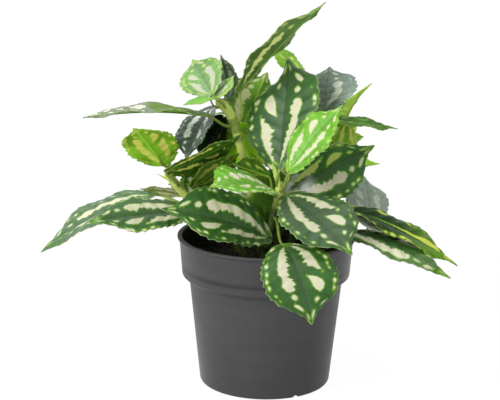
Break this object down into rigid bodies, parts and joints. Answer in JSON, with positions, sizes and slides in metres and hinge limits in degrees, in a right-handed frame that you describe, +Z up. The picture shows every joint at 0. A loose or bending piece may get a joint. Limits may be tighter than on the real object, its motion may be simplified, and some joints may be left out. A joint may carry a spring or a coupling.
{
  "type": "potted aluminum plant",
  "caption": "Bushy aluminum plant with silver-patched toothed leaves on branching stems, rooted in soil in a round tapered nursery pot with a wide collar and a rolled lip.",
  "frame": {"origin": "centre of the pot's flat underside, on the surface it stands on", "axes": "+Z up; the plant's front looks along -Y; +X is to the right seen from the front, along the longest spread of the leaves"},
  "size_m": [0.2352, 0.162, 0.2177],
  "materials": {
    "pot_plastic": "satin dark grey moulded plastic",
    "soil": "dark crumbly potting soil with bark bits",
    "stem": "pale yellow-green, olive near the soil",
    "leaf": "dark green with cream patches and a sheen",
    "young_leaf": "bright green with cream patches and a sheen"
  },
  "bodies": {
    "root": {"pot": "pot_plastic", "soil": "soil", "stem_left": "stem", "stem_left_inner": "stem", "stem_tall": "stem", "stem_centre": "stem", "stem_right": "stem", "stem_right_low": "stem", "stem_back": "stem", "leaf_left_1": "leaf", "leaf_left_2": "leaf", "leaf_left_3": "leaf", "leaf_left_4": "young_leaf", "leaf_left_5": "leaf", "leaf_left_6": "leaf", "leaf_left_7": "leaf", "leaf_tall_1": "leaf", "leaf_tall_2": "young_leaf", "leaf_tall_3": "young_leaf", "leaf_tall_4": "leaf", "leaf_tall_5": "leaf", "leaf_tall_6": "leaf", "leaf_tall_7": "leaf", "leaf_tall_8": "leaf", "leaf_tall_9": "young_leaf", "leaf_tall_10": "leaf", "leaf_tall_11": "leaf", "leaf_tall_12": "leaf", "leaf_tall_13": "young_leaf", "leaf_centre_1": "leaf", "leaf_centre_2": "young_leaf", "leaf_centre_3": "leaf", "leaf_centre_4": "leaf", "leaf_centre_5": "leaf", "leaf_centre_6": "young_leaf", "leaf_centre_7": "leaf", "leaf_centre_8": "leaf", "leaf_right_1": "leaf", "leaf_right_2": "leaf", "leaf_right_3": "leaf", "leaf_right_4": "leaf", "leaf_right_5": "young_leaf", "leaf_right_6": "young_leaf", "leaf_right_7": "leaf", "leaf_low_1": "leaf", "leaf_low_2": "leaf", "leaf_low_3": "leaf", "leaf_low_4": "leaf", "leaf_back_1": "young_leaf", "leaf_back_2": "leaf", "leaf_back_3": "leaf", "leaf_back_4": "leaf", "leaf_back_5": "leaf", "leaf_back_6": "leaf", "leaf_back_7": "leaf", "leaf_back_8": "leaf"}
  },
  "joints": []
}
